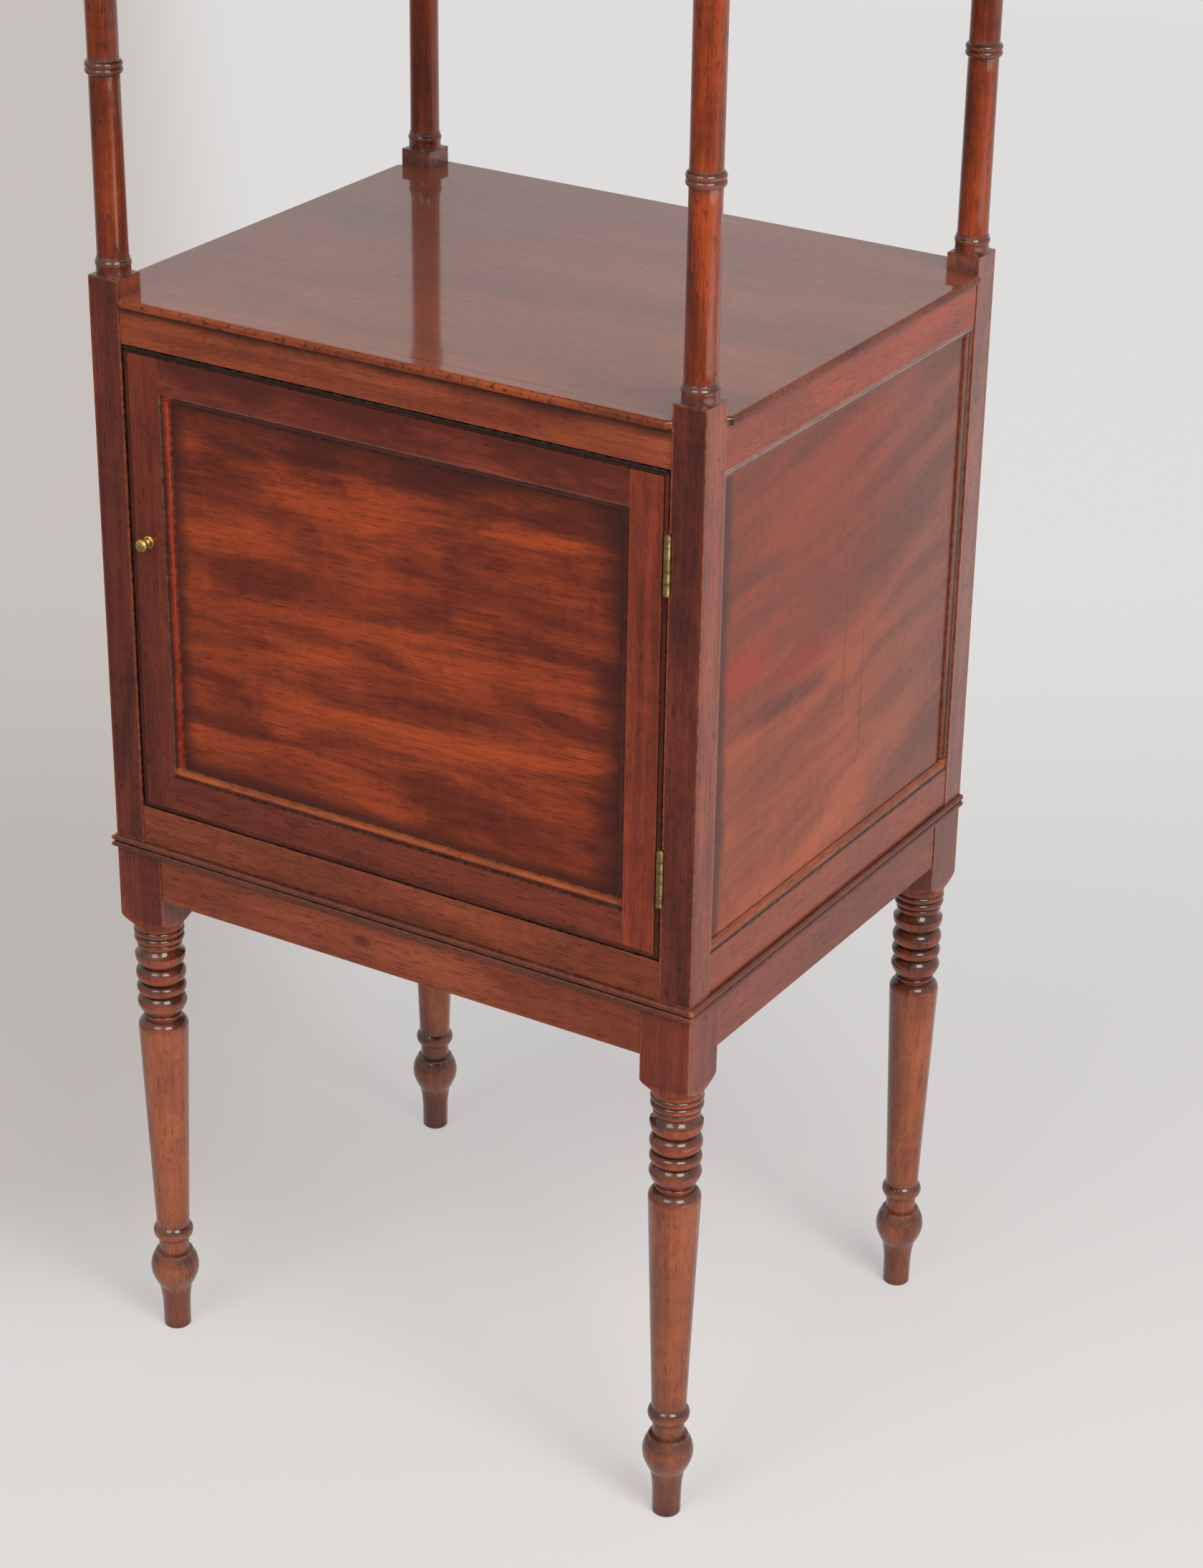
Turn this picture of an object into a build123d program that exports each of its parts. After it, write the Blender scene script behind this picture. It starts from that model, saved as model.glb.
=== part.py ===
from build123d import *
import os

# A mahogany whatnot: four turned legs carry a small cupboard, and its corner posts rise as ringed
# columns to an open tier. Millimetres, +Z up, the door to -Y, the feet on Z = 0.

# Driving sizes of the whole piece
carcase_width = 500.0
carcase_depth = 412.0
post_width = 25.7
leg_width = 39.6
leg_height = 434.2
base_frame_height = 10.0
cupboard_height = 423.0
tier_opening = 315.6

# Boards
top_thickness = 6.2
shelf_thickness = 9.0
nosing = 3.3
nosing_top_radius = 2.6
nosing_under_radius = 1.9
board_housing = 3.0
board_housing_shoulder = 1.2
block_rise = 12.3
block_chamfer = 0.35

# Stand, rails and their joints
apron_height = 37.1
rail_setback = 0.6
front_top_rail_height = 27.3
front_bottom_rail_height = 30.0
side_top_rail_height = 31.3
side_bottom_rail_height = 31.0
tenon_thickness = 8.0
tenon_length = 11.5
tenon_shoulder = 6.5
apron_tenon_length = 16.0
mortise_bottom = 0.5
joint_clearance = 0.05
dowel_radius = 6.0
dowel_length = 30.0
dowel_hole_bottom = 1.0
peg_clearance = 0.05

# Base moulding, a flat frame with two reeds along its edge
base_frame_width = 34.0
reed_projection = 3.3
reed_land = 0.9
reed_quirk = 0.4
quirk_depth = 0.5

# Side and back panels
panel_thickness = 7.0
panel_groove = 5.0
panel_edge_play = 0.3
side_panel_recess = 4.5
side_moulding_width = 8.0
mitre_gap = 0.1

# Cupboard floor and the strips that stop the door
floor_thickness = 8.0
bearer_width = 12.0
bearer_height = 12.0
bearer_end_gap = 30.0
stop_width = 6.0
stop_overlap = 5.0
stop_bed = 8.0
stop_end_gap = 24.0
glue_block_width = 14.0
glue_block_length = 45.0

# Door
door_setback = 0.6
door_side_gap = 1.2
door_end_gap = 1.0
door_thickness = 18.0
door_frame_width = 29.7
door_tenon_length = 18.0
door_tenon_shoulder = 7.0
door_panel_thickness = 8.0
door_panel_recess = 5.0
door_panel_groove = 6.0
door_moulding_width = 7.0
bead_width = 4.2
bead_depth = 5.0
bead_proud = 0.3
stop_clearance = 0.3

# Butt hinges
hinge_length = 41.5
hinge_inset = 43.5
hinge_proud = 1.0
hinge_radius = 2.5
hinge_pin_radius = 1.25
hinge_pin_clearance = 0.05
hinge_tip_radius = 1.9
hinge_tip_height = 0.9
hinge_knuckles = 5
knuckle_gap = 0.25
leaf_thickness = 1.2
leaf_width = 13.5
leaf_gap = 0.3
leaf_clearance = 0.4
scoop_clearance = 0.3
hinge_screws_per_leaf = 3
screw_radius = 1.1
screw_head_radius = 2.2
screw_head_depth = 1.1
screw_length = 9.0
screw_clearance = 0.05

# Knob and the catch that it turns
knob_edge_distance = 16.1
knob_drop = 144.0
knob_projection = 11.2
knob_radius = 4.9
rose_radius = 4.6
rose_thickness = 1.4
rose_bevel = 0.5
rose_gap = 0.2
spindle_radius = 1.9
spindle_clearance = 0.1
spindle_end = 0.8
catch_width = 8.0
catch_length = 24.0
catch_thickness = 1.6
catch_gap = 0.3
catch_slot_depth = 8.6
catch_slot_play = 0.8

# Finials
finial_height = 44.0
finial_radius = 10.5
finial_dowel_radius = 4.0
finial_dowel_length = 14.0

pick_margin = 0.05

# Outlines as shares. Each row is a height, a radius, and the radius half way along the arc that
# leads there, or zero for a straight run.

# Heights and radii are shares of half the leg's block. The foot is measured up from the floor, the
# head down from the leg's top, and the long taper between them takes what is left.
leg_foot_shares = [
    (0.000, 0.500, 0),
    (0.061, 0.545, 0),
    (0.840, 0.552, 0),
    (1.950, 0.665, 0.580),
    (2.520, 0.925, 0.815),
    (3.240, 0.897, 0.968),
    (3.480, 0.770, 0.846),
    (3.560, 0.745, 0),
    (3.600, 0.598, 0),
    (4.190, 0.610, 0),
    (4.820, 0.655, 0.798),
]
leg_head_shares = [
    (7.899, 0.977, 0),
    (7.555, 0.747, 0.929),
    (7.541, 0.687, 0),
    (7.484, 0.687, 0),
    (7.313, 0.687, 0.747),
    (7.283, 0.717, 0),
    (6.802, 0.970, 0.894),
    (6.425, 0.717, 0.904),
    (5.919, 0.727, 0.965),
    (5.182, 0.727, 0.975),
    (4.783, 0.975, 0.924),
    (4.682, 0.975, 0),
    (4.403, 0.717, 0.798),
    (4.112, 0.788, 0.874),
    (3.809, 0.879, 0.972),
    (3.515, 0.899, 0.98),
    (3.485, 0.970, 0),
    (3.283, 0.975, 0),
    (3.020, 1.303, 0),
    (2.803, 1.429, 1.394),
    (0.000, 1.429, 0),
]

# Heights are shares of half the column, radii of half the post
column_ring_share = 1.035
column_outline_shares = [
    (0.0000, 0.965, 0),
    (0.0447, 0.965, 0),
    (0.0735, 0.942, 1.008),
    (0.0756, 0.926, 0),
    (0.0866, 0.926, 0),
    (0.0907, 0.879, 0),
    (0.9663, 0.860, 0),
    (1.0000, 0.957, column_ring_share),
]

# Heights are shares of finial_height, radii of finial_radius
finial_outline_shares = [
    (0.00, 0.86, 0),
    (0.06, 0.86, 0),
    (0.10, 0.60, 0.80),
    (0.20, 0.46, 0.42),
    (0.25, 0.56, 0.60),
    (0.28, 0.62, 0),
    (0.56, 0.88, 0.98),
    (0.80, 0.42, 0.72),
    (0.84, 0.30, 0.32),
    (0.88, 0.32, 0),
    (0.97, 0.26, 0.36),
    (1.00, 0.12, 0.21),
]

# Lengths are shares of the knob's length in front of its rose, radii of knob_radius
knob_outline_shares = [
    (0.00, 0.50, 0),
    (0.10, 0.50, 0),
    (0.18, 0.38, 0.42),
    (0.50, 0.44, 0.36),
    (0.58, 0.66, 0.50),
    (0.64, 0.94, 0),
    (0.84, 0.94, 1.00),
    (0.95, 0.76, 0.88),
    (1.00, 0.36, 0.60),
]

# Widths are shares of a moulding's width inward from its frame, heights of its depth
moulding_land_shares = [(0.00, 0.92), (0.14, 0.92), (0.17, 0.70), (0.22, 0.84)]
moulding_curve_share = (0.62, 0.66)
moulding_foot_shares = [(0.84, 0.24), (1.00, 0.24), (1.00, 0.00)]


# Levels and faces that follow from the driving sizes
base_top = leg_height + base_frame_height
board_top = base_top + cupboard_height
board_under = board_top - top_thickness
shelf_under = board_top + tier_opening
shelf_top = shelf_under + shelf_thickness
post_top = shelf_top + block_rise
block_top = board_top + block_rise
upper_block_under = shelf_under - block_rise
ring_level = (block_top + upper_block_under) / 2

# The origin lies under the middle of the overall box, which the knob and the column rings reach
knob_reach = knob_projection - door_setback
ring_reach = post_width / 2 * (column_ring_share - 1)
centre_y = (knob_reach - ring_reach) / 2
front_y = centre_y - carcase_depth / 2
back_y = centre_y + carcase_depth / 2

rail_thickness = door_thickness + stop_clearance
rail_inner_inset = rail_setback + rail_thickness
panel_inset = rail_setback + side_panel_recess

door_bottom = base_top + front_bottom_rail_height + door_end_gap
door_top = board_under - front_top_rail_height - door_end_gap
door_half_width = carcase_width / 2 - post_width - door_side_gap
door_front_y = front_y + door_setback
door_back_y = door_front_y + door_thickness
door_panel_y = door_front_y + door_panel_recess
door_opening_half = door_half_width - door_frame_width
door_opening_bottom = door_bottom + door_frame_width
door_opening_top = door_top - door_frame_width

side_opening_bottom = base_top + side_bottom_rail_height
side_opening_top = board_under - side_top_rail_height
floor_top = base_top + front_bottom_rail_height

corners = {
    "front_left": (-1, -1),
    "front_right": (1, -1),
    "back_left": (-1, 1),
    "back_right": (1, 1),
}
sides = {"left": -1, "right": 1}


# Small helpers for places and shapes

def at_x(sign, inset):
    """X of a plane that lies inset from the outer face of the left or right posts."""
    return sign * (carcase_width / 2 - inset)


def at_y(sign, inset):
    """Y of a plane that lies inset from the outer face of the front or back posts."""
    return centre_y + sign * (carcase_depth / 2 - inset)


def slab(x_span, y_span, z_span, mode=Mode.ADD):
    """A box between three pairs of faces, in the sub-part that is being built."""
    spans = (x_span, y_span, z_span)
    with Locations(tuple(sum(span) / 2 for span in spans)):
        Box(*[abs(span[1] - span[0]) for span in spans], mode=mode)


def sized(shares, height, radius, start=0):
    """Rows of an outline at their real size, with heights counted from start."""
    return [(start + height * tall, radius * wide, radius * curve) for tall, wide, curve in shares]


def draw_turning(rows):
    """The half outline of a turning, from its axis at the foot to its axis at the top."""
    points = [(radius, height) for height, radius, half_way in rows]
    Line((0, points[0][1]), points[0])
    for start, end, (height, radius, half_way) in zip(points, points[1:], rows[1:]):
        if half_way:
            ThreePointArc(start, (half_way, (start[1] + end[1]) / 2), end)
        else:
            Line(start, end)
    if points[-1][0] > 0:
        Line(points[-1], (0, points[-1][1]))
    Line((0, points[-1][1]), (0, points[0][1]))


def lathe_plane(x, y, z):
    """The upright plane through a turning's axis, radius to the right and height up."""
    return Plane(origin=(x, y, z), x_dir=(1, 0, 0), z_dir=(0, -1, 0))


def strip(middle, outward, up, half_length, draw_section, inner, outer, rise, mitres=(1, 1)):
    """A moulding that runs both ways from middle, its section drawn outward and up from its bed.

    A mitre of 1 cuts that end at 45 degrees, and 0 leaves it square.
    """
    outward = Vector(*outward)
    along = outward.cross(Vector(*up))
    tail, head = mitres
    with BuildPart() as moulding:
        with BuildSketch(Plane(origin=middle, x_dir=outward, z_dir=along)):
            with BuildLine():
                draw_section()
            make_face()
        extrude(amount=half_length + outer, both=True)
        with BuildSketch(Plane(origin=middle, x_dir=along, z_dir=up)):
            with BuildLine():
                Polyline(
                    (-half_length - outer * tail, outer),
                    (half_length + outer * head, outer),
                    (half_length - inner * head, -inner),
                    (-half_length + inner * tail, -inner),
                    close=True,
                )
            make_face()
        extrude(amount=rise, both=True, mode=Mode.INTERSECT)
    return moulding.part


def draw_base_section():
    """Two reeds with a quirk between them on the edge of a flat strip."""
    middle = base_frame_height / 2
    lower_end = middle - reed_quirk / 2
    upper_start = middle + reed_quirk / 2
    Line((-base_frame_width, 0), (reed_land, 0))
    ThreePointArc((reed_land, 0), (reed_projection, lower_end / 2), (reed_land, lower_end))
    Polyline((reed_land, lower_end), (reed_land - quirk_depth, middle), (reed_land, upper_start))
    upper_middle = (upper_start + base_frame_height) / 2
    ThreePointArc(
        (reed_land, upper_start), (reed_projection, upper_middle), (reed_land, base_frame_height)
    )
    Polyline(
        (reed_land, base_frame_height), (-base_frame_width, base_frame_height), (-base_frame_width, 0)
    )


def panel_section(width, depth):
    """A planted moulding: a land against the frame, a quirk, an ovolo and a fillet on the panel."""
    def draw():
        def place(share):
            return (-width * share[0], depth * share[1])
        land = [place(share) for share in moulding_land_shares]
        foot = [place(share) for share in moulding_foot_shares]
        Polyline((0, 0), *land)
        ThreePointArc(land[-1], place(moulding_curve_share), foot[0])
        Polyline(*foot)
        Line(foot[-1], (0, 0))
    return draw


def draw_bead_section():
    """A cock bead: a strip with a half-round nose that stands a little proud."""
    nose_base = bead_depth + bead_proud - bead_width / 2
    Polyline((0, nose_base), (0, 0), (-bead_width, 0), (-bead_width, nose_base))
    ThreePointArc(
        (-bead_width, nose_base), (-bead_width / 2, bead_depth + bead_proud), (0, nose_base)
    )


def ring_of_strips(centre, first, second, up, half_first, half_second, draw, width, rise):
    """Four mitred strips round an opening, along its first and second directions."""
    centre, first, second = Vector(*centre), Vector(*first), Vector(*second)
    pieces = []
    for sign in (-1, 1):
        for outward, reach, run in ((first, half_first, half_second), (second, half_second, half_first)):
            direction = outward * sign
            pieces.append(
                strip(
                    tuple(centre + direction * reach), tuple(direction), up,
                    run - mitre_gap / 2, draw, width, 0, rise,
                )
            )
    return pieces


def save(part, name):
    """Label a finished sub-part and write its file."""
    part.label = name
    export_step(part, f"parts/{name}.step")


os.makedirs("parts", exist_ok=True)

# Where one thing fits another, both read these

hinge_x = at_x(1, post_width) - door_side_gap / 2
hinge_y = front_y - hinge_proud
hinge_levels = {
    "upper": door_top - hinge_inset - hinge_length / 2,
    "lower": door_bottom + hinge_inset + hinge_length / 2,
}
leaf_front_y = hinge_y + hinge_radius + leaf_clearance
leaf_back_y = hinge_y + leaf_width
leaf_spans = {
    "post": (hinge_x + leaf_gap / 2, hinge_x + leaf_gap / 2 + leaf_thickness),
    "door": (hinge_x - leaf_gap / 2 - leaf_thickness, hinge_x - leaf_gap / 2),
}
screw_pitch = hinge_length / hinge_screws_per_leaf
screw_y = (leaf_front_y + leaf_back_y) / 2

knob_x = -door_half_width + knob_edge_distance
knob_z = door_top - knob_drop
catch_front_y = door_back_y + catch_gap
catch_back_y = catch_front_y + catch_thickness


def scoop_for_barrel(level):
    """Cut clear of a hinge barrel over the length of the hinge."""
    with Locations((hinge_x, hinge_y, level)):
        Cylinder(
            hinge_radius + scoop_clearance, hinge_length + 2 * (hinge_tip_height + scoop_clearance),
            mode=Mode.SUBTRACT,
        )


def screw_places(level):
    """The levels of the screws in one leaf."""
    middle = (hinge_screws_per_leaf - 1) / 2
    return [level + (index - middle) * screw_pitch for index in range(hinge_screws_per_leaf)]


def screw_hole(side, level, clearance, mode=Mode.SUBTRACT):
    """A countersunk screw, or the hole for one, driven through the face of a leaf."""
    sign = 1 if side == "post" else -1
    face = leaf_spans[side][0] if side == "post" else leaf_spans[side][1]
    reach = screw_length + clearance
    with Locations(Plane(origin=(face, screw_y, level), z_dir=(sign, 0, 0))):
        Cylinder(
            screw_radius + clearance, reach,
            align=(Align.CENTER, Align.CENTER, Align.MIN), mode=mode,
        )
        Cone(
            screw_head_radius + clearance, screw_radius + clearance, screw_head_depth,
            align=(Align.CENTER, Align.CENTER, Align.MIN), mode=mode,
        )


def leaf_recess(side, level):
    """The shallow bed of one leaf with its screw holes."""
    slab(
        leaf_spans[side], (front_y, leaf_back_y),
        (level - hinge_length / 2, level + hinge_length / 2), Mode.SUBTRACT,
    )
    for place in screw_places(level):
        screw_hole(side, place, screw_clearance)


# Legs

for corner, (sx, sy) in corners.items():
    leg_x = at_x(sx, leg_width / 2)
    leg_y = at_y(sy, leg_width / 2)
    dowel_x = at_x(sx, post_width / 2)
    dowel_y = at_y(sy, post_width / 2)
    tenon_room = apron_tenon_length + mortise_bottom
    tenon_face = panel_inset + tenon_thickness + joint_clearance
    mortise_z = (leg_height - apron_height + tenon_shoulder, leg_height - tenon_shoulder)
    leg_foot = sized(leg_foot_shares, leg_width / 2, leg_width / 2)
    leg_head = sized(leg_head_shares, -leg_width / 2, leg_width / 2, leg_height)
    with BuildPart() as leg:
        with BuildSketch(lathe_plane(leg_x, leg_y, 0)):
            with BuildLine():
                draw_turning(leg_foot + leg_head)
            make_face()
        revolve(axis=Axis((leg_x, leg_y, 0), (0, 0, 1)))
        with BuildSketch(Plane.XY):
            with Locations((leg_x, leg_y)):
                Rectangle(leg_width, leg_width)
        extrude(amount=leg_height, mode=Mode.INTERSECT)
        with Locations((dowel_x, dowel_y, leg_height)):
            Cylinder(
                dowel_radius + peg_clearance, dowel_length - base_frame_height + dowel_hole_bottom,
                align=(Align.CENTER, Align.CENTER, Align.MAX), mode=Mode.SUBTRACT,
            )
        slab(
            (at_x(sx, leg_width), at_x(sx, leg_width - tenon_room)),
            (at_y(sy, panel_inset - joint_clearance), at_y(sy, tenon_face)), mortise_z, Mode.SUBTRACT,
        )
        slab(
            (at_x(sx, panel_inset - joint_clearance), at_x(sx, tenon_face)),
            (at_y(sy, leg_width), at_y(sy, leg_width - tenon_room)), mortise_z, Mode.SUBTRACT,
        )
    save(leg.part, f"leg_{corner}")

# Posts: square beside the cupboard, ringed columns above it, square again at the upper shelf

for corner, (sx, sy) in corners.items():
    post_x = at_x(sx, post_width / 2)
    post_y = at_y(sy, post_width / 2)
    post_span_x = (at_x(sx, 0), at_x(sx, post_width))
    post_span_y = (at_y(sy, 0), at_y(sy, post_width))
    tenon_near = panel_inset - joint_clearance
    tenon_far = panel_inset + tenon_thickness + joint_clearance
    tenon_room = tenon_length + mortise_bottom
    groove_far = panel_inset + panel_thickness
    half_column = (upper_block_under - block_top) / 2
    with BuildPart() as post:
        with BuildSketch(lathe_plane(post_x, post_y, block_top)):
            with BuildLine():
                draw_turning(sized(column_outline_shares, half_column, post_width / 2))
            make_face()
        revolve(axis=Axis((post_x, post_y, 0), (0, 0, 1)))
        mirror(about=Plane.XY.offset(ring_level))
        slab(post_span_x, post_span_y, (base_top, block_top))
        slab(post_span_x, post_span_y, (upper_block_under, post_top))
        rims = [
            edge
            for level in (block_top, upper_block_under, post_top)
            for edge in post.edges().filter_by(GeomType.LINE)
            if abs(edge.center().Z - level) < pick_margin
        ]
        chamfer(rims, block_chamfer)
        with Locations((post_x, post_y, base_top)):
            Cylinder(dowel_radius, dowel_length, align=(Align.CENTER, Align.CENTER, Align.MAX))
        with Locations((post_x, post_y, post_top)):
            Cylinder(
                finial_dowel_radius + peg_clearance, finial_dowel_length + dowel_hole_bottom,
                align=(Align.CENTER, Align.CENTER, Align.MAX), mode=Mode.SUBTRACT,
            )
        # Housings for the corners of both boards
        for under, thickness in ((board_under, top_thickness), (shelf_under, shelf_thickness)):
            slab(
                (at_x(sx, post_width), at_x(sx, post_width - board_housing)),
                (at_y(sy, post_width), at_y(sy, post_width - board_housing)),
                (under, under + thickness - board_housing_shoulder), Mode.SUBTRACT,
            )
        # Groove and mortises on the face that looks along the side
        slab(
            (at_x(sx, panel_inset), at_x(sx, groove_far)),
            (at_y(sy, post_width), at_y(sy, post_width - panel_groove - panel_edge_play)),
            (side_opening_bottom - panel_groove, side_opening_top + panel_groove), Mode.SUBTRACT,
        )
        side_rail_spans = (
            (base_top, side_opening_bottom),
            (side_opening_top, board_under),
        )
        for low, high in side_rail_spans:
            slab(
                (at_x(sx, tenon_near), at_x(sx, tenon_far)),
                (at_y(sy, post_width), at_y(sy, post_width - tenon_room)),
                (low + tenon_shoulder, high - tenon_shoulder), Mode.SUBTRACT,
            )
        # Mortises, and at the back a groove, on the face that looks along the front or back
        if sy < 0:
            cross_rail_spans = (
                (base_top, base_top + front_bottom_rail_height),
                (board_under - front_top_rail_height, board_under),
            )
        else:
            cross_rail_spans = side_rail_spans
            slab(
                (at_x(sx, post_width), at_x(sx, post_width - panel_groove - panel_edge_play)),
                (at_y(sy, panel_inset), at_y(sy, groove_far)),
                (side_opening_bottom - panel_groove, side_opening_top + panel_groove), Mode.SUBTRACT,
            )
        for low, high in cross_rail_spans:
            slab(
                (at_x(sx, post_width), at_x(sx, post_width - tenon_room)),
                (at_y(sy, tenon_near), at_y(sy, tenon_far)),
                (low + tenon_shoulder, high - tenon_shoulder), Mode.SUBTRACT,
            )
        if corner == "front_right":
            for level in hinge_levels.values():
                scoop_for_barrel(level)
                leaf_recess("post", level)
        if corner == "front_left":
            # The slot is tall enough for the catch to swing up into it from below
            reach = catch_length + catch_width / 2
            slab(
                (at_x(sx, post_width), at_x(sx, post_width - catch_slot_depth)),
                (catch_front_y - catch_slot_play, catch_back_y + catch_slot_play),
                (knob_z - reach + catch_width, knob_z + catch_width / 2 + catch_slot_play),
                Mode.SUBTRACT,
            )
    save(post.part, f"post_{corner}")

# Finials, each on a dowel in the top of its post

for corner, (sx, sy) in corners.items():
    finial_x = at_x(sx, post_width / 2)
    finial_y = at_y(sy, post_width / 2)
    with BuildPart() as finial:
        with BuildSketch(lathe_plane(finial_x, finial_y, post_top)):
            with BuildLine():
                draw_turning(sized(finial_outline_shares, finial_height, finial_radius))
            make_face()
        revolve(axis=Axis((finial_x, finial_y, 0), (0, 0, 1)))
        with Locations((finial_x, finial_y, post_top)):
            Cylinder(
                finial_dowel_radius, finial_dowel_length,
                align=(Align.CENTER, Align.CENTER, Align.MAX),
            )
    save(finial.part, f"finial_{corner}")


# Aprons and rails: a bar between two posts or legs with a tenon at each end

def side_bar(name, sign, end_inset, tongue, low, high, grooves=()):
    """A bar that runs front to back on the left or right, with panel grooves at some levels."""
    with BuildPart() as bar:
        slab(
            (at_x(sign, rail_setback), at_x(sign, rail_inner_inset)),
            (at_y(-1, end_inset), at_y(1, end_inset)), (low, high),
        )
        slab(
            (at_x(sign, panel_inset), at_x(sign, panel_inset + tenon_thickness)),
            (at_y(-1, end_inset - tongue), at_y(1, end_inset - tongue)),
            (low + tenon_shoulder + joint_clearance, high - tenon_shoulder - joint_clearance),
        )
        for start, end in grooves:
            slab(
                (at_x(sign, panel_inset), at_x(sign, panel_inset + panel_thickness)),
                (at_y(-1, end_inset), at_y(1, end_inset)), (start, end), Mode.SUBTRACT,
            )
    save(bar.part, name)


def cross_bar(name, sign, end_inset, tongue, low, high, grooves=()):
    """The same for a bar that runs left to right at the front or back."""
    with BuildPart() as bar:
        slab(
            (at_x(-1, end_inset), at_x(1, end_inset)),
            (at_y(sign, rail_setback), at_y(sign, rail_inner_inset)), (low, high),
        )
        slab(
            (at_x(-1, end_inset - tongue), at_x(1, end_inset - tongue)),
            (at_y(sign, panel_inset), at_y(sign, panel_inset + tenon_thickness)),
            (low + tenon_shoulder + joint_clearance, high - tenon_shoulder - joint_clearance),
        )
        for start, end in grooves:
            slab(
                (at_x(-1, end_inset), at_x(1, end_inset)),
                (at_y(sign, panel_inset), at_y(sign, panel_inset + panel_thickness)),
                (start, end), Mode.SUBTRACT,
            )
    save(bar.part, name)


apron_under = leg_height - apron_height
lower_groove = (side_opening_bottom - panel_groove, side_opening_bottom)
upper_groove = (side_opening_top, side_opening_top + panel_groove)

cross_bar("apron_front", -1, leg_width, apron_tenon_length, apron_under, leg_height)
cross_bar("apron_back", 1, leg_width, apron_tenon_length, apron_under, leg_height)
cross_bar(
    "front_bottom_rail", -1, post_width, tenon_length, base_top, base_top + front_bottom_rail_height
)
cross_bar(
    "front_top_rail", -1, post_width, tenon_length, board_under - front_top_rail_height, board_under
)
cross_bar(
    "back_bottom_rail", 1, post_width, tenon_length, base_top, side_opening_bottom, [lower_groove]
)
cross_bar("back_top_rail", 1, post_width, tenon_length, side_opening_top, board_under, [upper_groove])
for side, sx in sides.items():
    side_bar(f"apron_{side}", sx, leg_width, apron_tenon_length, apron_under, leg_height)
    side_bar(
        f"side_bottom_rail_{side}", sx, post_width, tenon_length, base_top, side_opening_bottom,
        [lower_groove],
    )
    side_bar(
        f"side_top_rail_{side}", sx, post_width, tenon_length, side_opening_top, board_under,
        [upper_groove],
    )

# Base moulding: a mitred frame between the stand and the cupboard, pierced by the posts' dowels


def dowel_passage(places):
    """Cut the holes for the posts' dowels through a strip of the base frame."""
    for sx, sy in places:
        with Locations((at_x(sx, post_width / 2), at_y(sy, post_width / 2), leg_height)):
            Cylinder(
                dowel_radius + peg_clearance, base_frame_height,
                align=(Align.CENTER, Align.CENTER, Align.MIN), mode=Mode.SUBTRACT,
            )


with BuildPart() as base_front:
    add(
        strip(
            (0, front_y, leg_height), (0, -1, 0), (0, 0, 1), carcase_width / 2,
            draw_base_section, base_frame_width, reed_projection, base_frame_height,
        )
    )
    dowel_passage([(-1, -1), (1, -1)])
save(base_front.part, "base_moulding_front")

for side, sx in sides.items():
    square_back = (0, 1) if sx > 0 else (1, 0)
    with BuildPart() as base_side:
        add(
            strip(
                (at_x(sx, 0), centre_y, leg_height), (sx, 0, 0), (0, 0, 1), carcase_depth / 2,
                draw_base_section, base_frame_width, reed_projection, base_frame_height, square_back,
            )
        )
        dowel_passage([(sx, -1), (sx, 1)])
    save(base_side.part, f"base_moulding_{side}")

with BuildPart() as base_back:
    slab(
        (at_x(-1, base_frame_width), at_x(1, base_frame_width)),
        (at_y(1, 0), at_y(1, base_frame_width)), (leg_height, base_top),
    )
save(base_back.part, "base_frame_back")

# Cupboard floor on two bearers, notched round the posts

with BuildPart() as cupboard_floor:
    slab(
        (at_x(-1, rail_inner_inset), at_x(1, rail_inner_inset)),
        (at_y(-1, rail_inner_inset), at_y(1, rail_inner_inset)), (floor_top - floor_thickness, floor_top),
    )
    for sx, sy in corners.values():
        slab(
            (at_x(sx, 0), at_x(sx, post_width)), (at_y(sy, 0), at_y(sy, post_width)),
            (floor_top - floor_thickness, floor_top), Mode.SUBTRACT,
        )
save(cupboard_floor.part, "cupboard_floor")

for side, sx in sides.items():
    with BuildPart() as bearer:
        slab(
            (at_x(sx, rail_inner_inset), at_x(sx, rail_inner_inset + bearer_width)),
            (at_y(-1, post_width + bearer_end_gap), at_y(1, post_width + bearer_end_gap)),
            (floor_top - floor_thickness - bearer_height, floor_top - floor_thickness),
        )
    save(bearer.part, f"floor_bearer_{side}")

# Side and back panels, and the mouldings planted round the side panels

panel_low = side_opening_bottom - panel_groove + panel_edge_play
panel_high = side_opening_top + panel_groove - panel_edge_play
panel_end_inset = post_width - panel_groove
panel_middle_z = (side_opening_bottom + side_opening_top) / 2
side_half_length = carcase_depth / 2 - post_width
side_half_height = (side_opening_top - side_opening_bottom) / 2

for side, sx in sides.items():
    with BuildPart() as side_panel:
        slab(
            (at_x(sx, panel_inset), at_x(sx, panel_inset + panel_thickness)),
            (at_y(-1, panel_end_inset), at_y(1, panel_end_inset)), (panel_low, panel_high),
        )
    save(side_panel.part, f"side_panel_{side}")
    with BuildPart() as side_moulding:
        for piece in ring_of_strips(
            (at_x(sx, panel_inset), centre_y, panel_middle_z), (0, 1, 0), (0, 0, 1), (sx, 0, 0),
            side_half_length, side_half_height,
            panel_section(side_moulding_width, side_panel_recess), side_moulding_width,
            side_panel_recess,
        ):
            add(piece)
    save(side_moulding.part, f"side_panel_moulding_{side}")

with BuildPart() as back_panel:
    slab(
        (at_x(-1, panel_end_inset), at_x(1, panel_end_inset)),
        (at_y(1, panel_inset), at_y(1, panel_inset + panel_thickness)), (panel_low, panel_high),
    )
save(back_panel.part, "back_panel")


# Boards: notched at the corners, with a rounded nosing between the posts on the front and sides

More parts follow.
